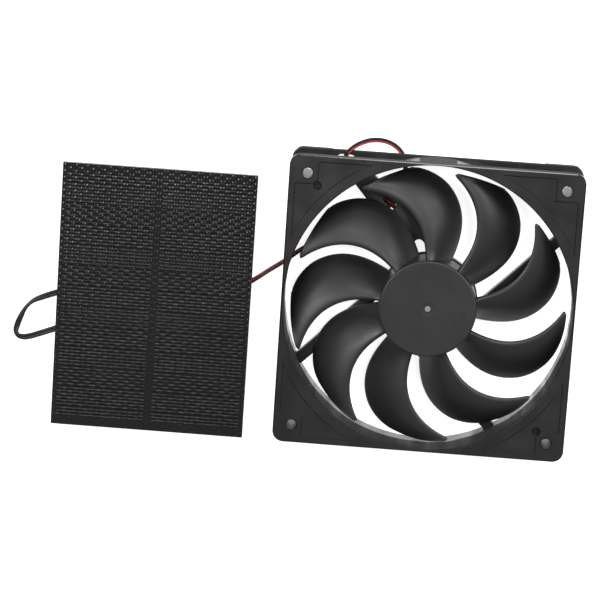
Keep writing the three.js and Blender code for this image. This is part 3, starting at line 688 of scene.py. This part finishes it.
def front_relief():
    """The shallow panels sunk in the front face, between the rim, the corner pads and the ring."""
    inset = FAN_SIDE / 2 - RIM_WIDTH
    pad = FAN_SIDE / 2 - PAD_SIDE
    end = math.degrees(math.acos(inset / RING_RADIUS))
    start = math.degrees(math.asin(pad / RING_RADIUS))
    flank = [p for p in arc((0, 0), RING_RADIUS, end, start, 16) if p.y < pad - PAD_CORNER]
    outline = flank + arc((flank[-1].x + PAD_CORNER, pad - PAD_CORNER), PAD_CORNER, 180, 90, 4)
    outline += arc((inset - RIM_CORNER, pad - RIM_CORNER), RIM_CORNER, 90, 0, 4)
    mirrored = [Vector((p.y, p.x)) for p in outline][::-1]
    tools = []
    for quarter in range(4):
        turn = Matrix.Rotation(math.radians(90 * quarter), 2)
        for shape in (outline, mirrored):
            placed = [turn @ p for p in shape]
            levels = (
                (drawn_in(placed, RELIEF_DRAFT), FAN_DEPTH - RELIEF),
                (placed, FAN_DEPTH),
                (placed, FAN_DEPTH + 1),
            )
            tools.append(loft("relief", [[(*p, z) for p in level] for level, z in levels]))
    return tools


def frame_shell():
    """Both flanges, the duct's wall and the screw bosses between them, and the corner feet."""
    shell = rounded_slab(FAN_DEPTH - FLANGE, FAN_DEPTH, FRONT_EDGE)
    shell.name = "fan_body"
    duct = disc(DUCT_OUTER, FOOT_HEIGHT + 0.5, FAN_DEPTH - 1, DUCT_SEGMENTS)
    feet = rounded_slab(0, FOOT_HEIGHT + 0.8, FLANGE_EDGE)
    gap = FAN_SIDE / 2 - FOOT_SIDE
    combine(feet, [block(gap, FAN_SIDE, -1, 3), block(FAN_SIDE, gap, -1, 3)], "DIFFERENCE")
    bosses = [disc(SCREW_BOSS, FOOT_HEIGHT + 1, FAN_DEPTH - 1, center=place) for place in SCREWS]
    back = rounded_slab(FOOT_HEIGHT, FLANGE, FLANGE_EDGE)
    combine(shell, [back, duct, feet, *bosses], "UNION")
    bore = [
        (0, -1), (DUCT_RADIUS + 0.25, -1), (DUCT_RADIUS + 0.25, FOOT_HEIGHT),
        (DUCT_RADIUS, FOOT_HEIGHT + 0.4), (DUCT_RADIUS, FAN_DEPTH - DUCT_MOUTH),
        (DUCT_RADIUS + 0.15, FAN_DEPTH - 0.15), (DUCT_RADIUS + DUCT_MOUTH, FAN_DEPTH + 0.01),
        (DUCT_RADIUS + DUCT_MOUTH, FAN_DEPTH + 1), (0, FAN_DEPTH + 1),
    ]
    combine(shell, [lathe(bore, DUCT_SEGMENTS)], "DIFFERENCE")
    combine(shell, front_relief(), "DIFFERENCE")
    return shell


def frame_arms():
    """Three plain struts and the wire channel, whose windows go right through it."""
    arms = prism(channel_outline(0, -STRUT_ROOT, STRUT_LENGTH), FOOT_HEIGHT, STRUT_TOP)
    windows = [
        prism(slot_outline(channel_point(start, offset), channel_point(end, offset), width), 0, FAN_DEPTH)
        for start, end, offset, width in WINDOWS
    ]
    combine(arms, windows, "DIFFERENCE")
    plain = []
    for angle in STRUT_ANGLES:
        ends = [strut_point(angle, STRUT_SWEEP, distance) for distance in (-STRUT_ROOT, STRUT_LENGTH)]
        plain.append(bar(*ends, STRUT_WIDTH, FOOT_HEIGHT, STRUT_TOP))
    combine(arms, plain, "UNION")
    soften(arms, STRUT_EDGE)
    combine(arms, [disc(DUCT_OUTER - 0.1, 0, FAN_DEPTH, DUCT_SEGMENTS)], "INTERSECT")
    return arms


def motor_base():
    inner, low, high = BASE_RADIUS - BASE_EDGE, FOOT_HEIGHT + BASE_EDGE, BASE_TOP - BASE_EDGE
    return lathe([
        (0, FOOT_HEIGHT), (inner, FOOT_HEIGHT), (BASE_RADIUS, low),
        (BASE_RADIUS, high), (inner, BASE_TOP), (0, BASE_TOP),
    ], 120)


def frame_cuts():
    """The base's pocket, the channel, the groove and hole for the lead, and the holes in front."""
    low = FOOT_HEIGHT - 1
    hole = Vector(LEAD_HOLE)
    along = Vector((LEAD_HOLE_SIZE[0] / 2, 0))
    cuts = [
        disc(BASE_POCKET, BASE_FLOOR, FAN_DEPTH, 96),
        prism(channel_outline(CHANNEL_WALL, 0, STRUT_LENGTH + CHANNEL_INTO_BASE), low, CHANNEL_ROOF),
        bar(channel_point(GROOVE_START, 0), hole, GROOVE_WIDTH, low, GROOVE_ROOF),
        prism(slot_outline(hole - along, hole + along, LEAD_HOLE_SIZE[1]), -1, FLANGE + 1),
    ]
    bore, rim = SCREW_RADIUS, SCREW_RADIUS + SCREW_EDGE
    screw_hole = [
        (0, -1), (rim, -1), (rim, 0), (bore, SCREW_EDGE),
        (bore, FAN_DEPTH - SCREW_EDGE), (rim, FAN_DEPTH), (rim, FAN_DEPTH + 1), (0, FAN_DEPTH + 1),
    ]
    cuts += [lathe(screw_hole, 40, center=place) for place in SCREWS]
    radius, floor = BLIND_HOLE_RADIUS, FAN_DEPTH - BLIND_HOLE_DEPTH
    blind_hole = [
        (0, floor), (radius - 0.2, floor), (radius, FAN_DEPTH - 0.5), (radius + 0.15, FAN_DEPTH - 0.2),
        (radius + 0.5, FAN_DEPTH), (radius + 0.5, FAN_DEPTH + 1), (0, FAN_DEPTH + 1),
    ]
    x, y = BLIND_HOLE
    cuts += [lathe(blind_hole, 32, center=place) for place in ((x, y), (-x, -y))]
    return cuts


def frame_details():
    """The hooks that hold the wires in the channel, and the socket for the bearing tube."""
    top = FOOT_HEIGHT + HOOK_THICKNESS
    details = [
        bar(channel_point(place, root), channel_point(place, tip), width, FOOT_HEIGHT + 0.02, top)
        for place, root, tip, width in HOOKS
    ]
    inner, outer, height = SOCKET
    low = BASE_FLOOR - 0.2
    details.append(lathe([(outer, low), (outer, height), (inner, height), (inner, low)], 48))
    return details


def make_fan_frame(material):
    body = frame_shell()
    combine(body, [frame_arms(), motor_base()], "UNION")
    combine(body, frame_cuts(), "DIFFERENCE")
    combine(body, frame_details(), "UNION")
    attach(settle(body, FAN, material, 20), "root")
    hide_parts("fan_frame")


# ---------------------------------------------------------------- impeller


def corner_turn(share, span, angle):
    """How far round the axis a blade's edge turns in, where it rounds into the tip."""
    corner = min(1, max(0, 1 - (1 - share) / span))
    return angle * (1 - math.sqrt(1 - corner ** 2))


def leading_angle(share):
    root, turn, power = LEADING_EDGE
    return root + turn * share ** power - corner_turn(share, *LEADING_CORNER)


def trailing_angle(share):
    root, even, late = TRAILING_EDGE
    return root + even * share + late * share ** 3 + corner_turn(share, *TRAILING_CORNER)


def blade_section(share, swell, turn, steps):
    """The points round one blade section, from the leading edge along the front and back again."""
    root = HUB_RADIUS - HUB_WALL / 2
    radius = root + (BLADE_TIP - root) * share
    lead, trail = leading_angle(share), trailing_angle(share)
    drop = BLADE_FRONT - BLADE_BACK
    slope = math.atan2(drop, radius * math.radians(lead - trail))
    thick, thin = BLADE_THICKNESS
    extra, reach = BLADE_FILLET
    thickness = (thick + (thin - thick) * share + extra * max(0, 1 - share / reach) ** 2) * swell
    points = []
    for i in range(2 * steps):
        along = i / steps if i <= steps else 2 - i / steps
        side = 1 if i <= steps else -1
        chord = 0.5 - 0.5 * math.cos(math.pi * along)
        nose = math.sqrt(1 - (1 - min(1, chord / NOSE)) ** 2)
        taper = 1 - TAPER * max(0, chord - TAPER_START) / (1 - TAPER_START)
        tail = math.sqrt(min(1, (1 - chord) / TAIL))
        half = thickness / 2 * nose * taper * tail / math.cos(slope)
        p = polar(radius, lead + (trail - lead) * chord + turn)
        points.append((p.x, p.y, BLADE_FRONT - drop * chord ** BLADE_CAMBER + side * half))
    return points


def blade_end(first, steps):
    """The faces over one end section, as strips from its front to its back."""
    count = 2 * steps
    faces = []
    for j in range(steps - 1):
        strip = (j, j + 1, count - j - 1, (count - j) % count)
        faces.append([first + k for k in dict.fromkeys(strip)])
    faces.append([first + steps + k for k in (-1, 0, 1)])
    return faces


def make_blade(turn):
    spans, steps = 26, 30
    shares = [math.sin(i / spans * math.pi / 2) for i in range(spans + 1)]
    sections = [blade_section(share, 1, turn, steps) for share in shares]
    sections += [blade_section(1 + outward, swell, turn, steps) for outward, swell in TIP_ROUNDING]
    count = 2 * steps
    verts = [p for section in sections for p in section]
    ends = blade_end(0, steps) + blade_end(len(verts) - count, steps)
    return mesh_object("blade", verts, skin(count, len(sections)) + ends)


def make_impeller(material):
    inner = HUB_RADIUS - HUB_WALL
    wall = [
        (0, HUB_CEILING), (inner, HUB_CEILING), (inner, HUB_BOTTOM + HUB_CHAMFER),
        (inner + HUB_CHAMFER, HUB_BOTTOM), (HUB_RADIUS - HUB_CHAMFER, HUB_BOTTOM),
        (HUB_RADIUS, HUB_BOTTOM + HUB_CHAMFER),
    ]
    shoulder = arc((HUB_RADIUS - HUB_EDGE, HUB_TOP - HUB_EDGE), HUB_EDGE, 0, 90, 8)
    recess = [(radius, HUB_TOP + height) for radius, height in GATE_RECESS]
    hub = lathe(wall + [tuple(p) for p in shoulder] + recess, 180, "fan_rotor")
    combine(hub, [make_blade(i * 360 / BLADES) for i in range(BLADES)], "UNION")
    inner, outer = HUB_MARK_RADII
    low, high = HUB_TOP - 0.25, HUB_TOP + 1
    mark = lathe([(outer, low), (outer, high), (inner, high), (inner, low)], 32, center=HUB_MARK)
    combine(hub, [mark], "DIFFERENCE")
    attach(settle(hub, FAN, material, 40), "rotor")
    even_normals(hub)
    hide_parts("impeller")


def make_gate_stub(material):
    """The torn stub of the moulding gate, in the middle of the hub."""
    stub = lathe([(radius, HUB_TOP + height) for radius, height in GATE_STUB], 32, "gate_stub")
    for vertex in stub.data.vertices:
        if vertex.co.z > HUB_TOP - 0.28:
            vertex.co.z += 0.05 * noise.noise(vertex.co * 2.5)
    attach(settle(stub, FAN, material), "rotor")


# ---------------------------------------------------------------- panel


def close_sheet(sheet, bottom):
    """Cleans the embossed face, and gives it a skirt down to the bottom and a flat back."""
    build = bmesh.new()
    build.from_mesh(sheet.data)
    flat = [f for f in build.faces if f.calc_area() < 1e-6]
    bmesh.ops.delete(build, geom=flat, context="FACES")
    bmesh.ops.remove_doubles(build, verts=build.verts, dist=1e-4)
    bmesh.ops.recalc_face_normals(build, faces=build.faces)
    rim = [e for e in build.edges if e.is_boundary]
    skirt = bmesh.ops.extrude_edge_only(build, edges=rim)["geom"]
    for element in skirt:
        if isinstance(element, bmesh.types.BMVert):
            element.co.z = bottom
    bmesh.ops.holes_fill(build, edges=[e for e in build.edges if e.is_boundary], sides=0)
    bmesh.ops.recalc_face_normals(build, faces=build.faces)
    build.to_mesh(sheet.data)
    build.free()


def make_front_sheet(material):
    """The film over the cells, embossed with shallow round dimples in a close hexagonal pack."""
    half_x, half_y, top = (sheet_high - PANEL) / MM
    corner = HEX_ROW / math.sqrt(3)
    hexagon = [corner, corner * math.cos(math.pi / 6)] * 6
    sides = len(hexagon)
    verts = []
    lookup = {}
    faces = []

    def vertex(x, y, z):
        x = max(-half_x, min(half_x, x))
        y = max(-half_y, min(half_y, y))
        key = (round(x, 3), round(y, 3))
        if key not in lookup:
            lookup[key] = len(verts)
            verts.append((x, y, z))
        return lookup[key]

    def dimple(cx, cy):
        rings = []
        for reaches, depth in [(hexagon, 0)] + [([corner * share] * sides, d) for share, d in FILM_RINGS]:
            places = [polar(reach, k * 360 / sides) for k, reach in enumerate(reaches)]
            rings.append([vertex(cx + p.x, cy + p.y, top - FILM_DEPTH * depth) for p in places])
        rings.append([vertex(cx, cy, top - FILM_DEPTH)] * sides)
        for outer, inner in zip(rings, rings[1:]):
            for k in range(sides):
                n = (k + 1) % sides
                faces.append(list(dict.fromkeys((outer[k], outer[n], inner[n], inner[k]))))

    columns = int(half_x / HEX_COLUMN) + 1
    rows = int(half_y / HEX_ROW) + 1
    overhang = 1.2
    for i in range(-columns, columns + 1):
        for j in range(-rows, rows + 1):
            cx = i * HEX_COLUMN
            cy = (j + (0.5 if i % 2 else 0)) * HEX_ROW
            if abs(cx) < half_x + overhang and abs(cy) < half_y + overhang:
                dimple(cx, cy)
    sheet = mesh_object("panel_film", verts, [f for f in faces if len(f) > 2])
    close_sheet(sheet, sheet_low.z / MM)
    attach(settle(sheet, PANEL, material, 50), "root")
    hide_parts("front_sheet")


# ---------------------------------------------------------------- leads

# Routes from the fan's centre, in millimetres, along the middle of the red and black pair.
FAN_LEAD_ROUTE = [
    (-38.0, 57.2, 4.6), (-37.7, 58.4, 5.6), (-36.9, 59.8, 5.9), (-35.6, 61.1, 5.3), (-33.7, 62.4, 3.8),
    (-31.2, 63.5, 2.1), (-28.4, 64.3, 0.9), (-25.2, 64.6, 0.5), (-21.7, 64.2, 0.5), (-18.5, 62.9, 0.5),
    (-16.0, 60.9, 0.5), (-14.4, 58.5, 0.5), (-13.3, 54.2, 0.5), (-13.9, 48.5, 0.5), (-16.6, 42.2, 0.5),
    (-21.5, 35.8, 0.5), (-28.2, 30.2, 0.5), (-36.5, 25.5, 0.5), (-45.2, 21.4, 0.5), (-53.1, 17.2, 0.5),
    (-61.0, 11.0, 0.5), (-67.0, 6.7, 0.5), (-72.8, 2.3, 0.5), (-78.2, -1.2, 0.6), (-83.2, -2.9, 0.8),
    (-87.6, -3.2, 0.95),
]
INNER_LEAD_ROUTE = [
    (-2.4, 11.9, 3.35), (-4.3, 16.2, 3.35), (-8.4, 21.4, 3.35), (-11.1, 25.4, 3.35), (-12.2, 30.1, 3.35),
    (-13.7, 34.3, 3.35), (-16.2, 37.5, 3.35), (-20.5, 40.1, 3.35), (-24.6, 43.7, 3.35), (-28.9, 47.9, 3.1),
    (-31.9, 51.2, 2.8), (-34.9, 54.1, 2.7), (-36.7, 55.4, 2.95), (-37.6, 56.3, 3.6), (-37.9, 56.85, 4.05),
]
PANEL_LEAD_ROUTE = [
    (-125.2, 0.2), (-131, -0.9), (-139, -3.2), (-147, -6.2), (-154.8, -9.2), (-160.2, -11.3),
    (-164.6, -13.4), (-167.4, -16.2), (-169.4, -20), (-170.9, -24), (-171.4, -26.9), (-170.5, -28.7),
    (-168.3, -29.3), (-165.4, -28.8), (-161.6, -27.4), (-154.8, -24.7), (-146, -21.4), (-136, -17.6),
    (-126, -13), (-117, -8.6), (-109.4, -5), (-104.6, -3.5), (-100.4, -3.2),
]


def beside(route, offset):
    """The route moved sideways in plan, so that two wires run side by side."""
    moved = []
    for i, point in enumerate(route):
        before, after = route[max(i - 1, 0)], route[min(i + 1, len(route) - 1)]
        run = Vector((after[0] - before[0], after[1] - before[1])).normalized()
        moved.append((point[0] - run.y * offset, point[1] + run.x * offset, point[2]))
    return moved


def smooth_path(route, per_step=8):
    """Points in metres along a smooth curve through the route."""
    points = [Vector(p) for p in route]
    points = [2 * points[0] - points[1], *points, 2 * points[-1] - points[-2]]
    path = []
    for a, b, c, d in zip(points, points[1:], points[2:], points[3:]):
        ta = 0
        tb = ta + math.sqrt((b - a).length)
        tc = tb + math.sqrt((c - b).length)
        td = tc + math.sqrt((d - c).length)
        for k in range(per_step):
            t = tb + (tc - tb) * k / per_step
            ab = a.lerp(b, (t - ta) / (tb - ta))
            bc = b.lerp(c, (t - tb) / (tc - tb))
            cd = c.lerp(d, (t - tc) / (td - tc))
            abc = ab.lerp(bc, (t - ta) / (tc - ta))
            bcd = bc.lerp(cd, (t - tb) / (td - tb))
            path.append(abc.lerp(bcd, (t - tb) / (tc - tb)))
    path.append(points[-2])
    return [FAN + p * MM for p in path]


def path_length(path):
    return sum((b - a).length for a, b in zip(path, path[1:]))


def wire(name, path, material):
    curve = bpy.data.curves.new(name, "CURVE")
    curve.dimensions = "3D"
    curve.bevel_depth = WIRE * MM / 2
    curve.bevel_resolution = 4
    curve.use_fill_caps = True
    spline = curve.splines.new("POLY")
    spline.points.add(len(path) - 1)
    for point, place in zip(spline.points, path):
        point.co = (*place, 1)
    spline.use_smooth = True
    curve.materials.append(material)
    piece = bpy.data.objects.new(name, curve)
    bpy.context.scene.collection.objects.link(piece)
    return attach(piece, "root")


def make_fan_lead(colour, offset, material):
    inner = wire(f"fan_lead_{colour}_inner", smooth_path(beside(INNER_LEAD_ROUTE, offset)), material)
    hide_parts(f"lead_{colour}_inner")
    path = smooth_path(beside(FAN_LEAD_ROUTE, offset))
    free = wire(f"fan_lead_{colour}", path, material)
    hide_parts(f"lead_{colour}")


def make_panel_lead(material):
    """A flat twin lead: two round cores side by side in one skin, which twists at the loop."""
    path = smooth_path([(x, y, 0) for x, y in PANEL_LEAD_ROUTE])
    total = path_length(path)
    core = TWIN_HEIGHT / 2
    section = [Vector((core, 0)) + polar(core, a) for a in range(-150, 151, 25)]
    section += [Vector((-core, 0)) + polar(core, a) for a in range(30, 331, 25)]
    rows = []
    for i, point in enumerate(path):
        run = (path[min(i + 1, len(path) - 1)] - path[max(i - 1, 0)]).normalized()
        side = Vector((-run.y, run.x, 0))
        share = path_length(path[:i + 1]) / total
        twist = sum(
            math.radians(angle) * math.exp(-((share - place) / reach) ** 2)
            for place, reach, angle in TWISTS
        )
        middle = point + Vector((0, 0, core + core * math.sin(twist))) * MM
        turned = [Matrix.Rotation(twist, 2) @ p for p in section]
        rows.append([middle + (side * p.x + Vector((0, 0, p.y))) * MM for p in turned])
    lead = loft("panel_twin_lead", rows)
    lead.data.materials.append(material)
    lead.data.shade_smooth()
    lead.data.set_sharp_from_angle(angle=math.radians(70))
    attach(lead, "root")
    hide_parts("panel_lead")


# ---------------------------------------------------------------- the rest of the CAD nodes


def dress(node, material, edge):
    """Gives a CAD node its material, and rounds its edges a little."""
    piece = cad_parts[node]
    piece.data.materials.clear()
    piece.data.materials.append(material)
    if edge:
        modifier = piece.modifiers.new("edge", "BEVEL")
        modifier.width = edge * MM
        modifier.segments = 2
        modifier.limit_method = "ANGLE"
        modifier.angle_limit = math.radians(40)


def make_floor():
    shader = Shader("floor", grey(0.6), 0.9, specular=0.1)
    shader.color(shader.blend(shader.noise(3, 2), grey(0.58), grey(0.62)))
    shader.bsdf.inputs["Emission Color"].default_value = grey(1)
    shader.bsdf.inputs["Emission Strength"].default_value = FLOOR_GLOW
    corners = [(sx * FLOOR_REACH, sy * FLOOR_REACH, 0) for sx, sy in CORNERS]
    floor = mesh_object("floor", corners, [(0, 1, 2, 3)])
    floor.data.materials.append(shader.material)
    floor.location.z = -FLOOR_DROP


def main():
    make_camera()
    red = insulation("red_insulation", (0.16, 0.009, 0.008), 0.4, 0.4)
    black = insulation("black_insulation", (0.006, 0.0055, 0.0055), 0.42, 0.25)
    make_fan_lead("red", -WIRE_SPREAD, red)
    make_fan_lead("black", WIRE_SPREAD, black)
    make_panel_lead(black)

    make_light()
    make_floor()
    make_fan_frame(frame_material())
    make_impeller(moulded_plastic("rotor_plastic", 0.01, 0.44, grain=3400, grain_depth=0.00002))
    make_gate_stub(moulded_plastic("torn_plastic", 0.16, 0.5, grain=1500))
    make_front_sheet(panel_material())

    ground = metal("ground_steel", (0.62, 0.62, 0.63), 0.25, (1, 1, 8))
    plated = metal("plated_steel", (0.5, 0.5, 0.52), 0.35)
    lamination = metal("laminations", (0.32, 0.32, 0.33), 0.45, (0.02, 0.02, 4), 900)
    turned_brass = metal("turned_brass", (0.72, 0.53, 0.24), 0.3, (1, 1, 8))
    tinned = metal("tinned_copper", (0.62, 0.62, 0.6), 0.35)
    bobbin = moulded_plastic("bobbin_nylon", 0.6, 0.5, grain=2600)
    chip = moulded_plastic("chip_body", 0.02, 0.45, grain=5200)
    ferrite = moulded_plastic("bonded_ferrite", 0.035, 0.7, grain=1800)
    laminate = moulded_plastic("black_laminate", 0.013, 0.4, grain=1500)
    shrink = moulded_plastic("heat_shrink", 0.014, 0.5, grain=900, grain_depth=0.00006)
    resin = moulded_plastic("dark_resin", 0.012, 0.3, grain=800)
    silicon = moulded_plastic("silicon", 0.013, 0.25, grain=2400)
    foil = moulded_plastic("label_foil", 0.3, 0.4, grain=600)
    glue = moulded_plastic("hot_glue", 0.6, 0.3, grain=200, grain_depth=0.0001)
    winding = winding_material()
    finish = {
        "bearing_tube": turned_brass, "upper_bearing": ground, "lower_bearing": ground,
        "stator_core": lamination, "bobbin_upper": bobbin, "bobbin_lower": bobbin,
        "circuit_board": board_material(), "hall_sensor": chip, "driver_chip": chip, "rear_label": foil,
        "rotor_yoke": plated, "rotor_magnet": ferrite, "rotor_shaft": ground,
        "preload_spring": ground, "retaining_ring": plated,
        "backboard": laminate, "encapsulant": resin, "glue_blob": glue,
        "splice_red": shrink, "splice_black": shrink,
    }
    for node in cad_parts:
        if node.startswith("cell_"):
            finish[node] = silicon
        if node.startswith("ribbon_"):
            finish[node] = tinned
        if node.startswith("coil_"):
            finish[node] = winding
    sharp = ("cell_", "ribbon_", "rear_label", "preload_spring", "encapsulant")
    for node, material in finish.items():
        dress(node, material, 0 if node.startswith(sharp) else 0.12)


main()
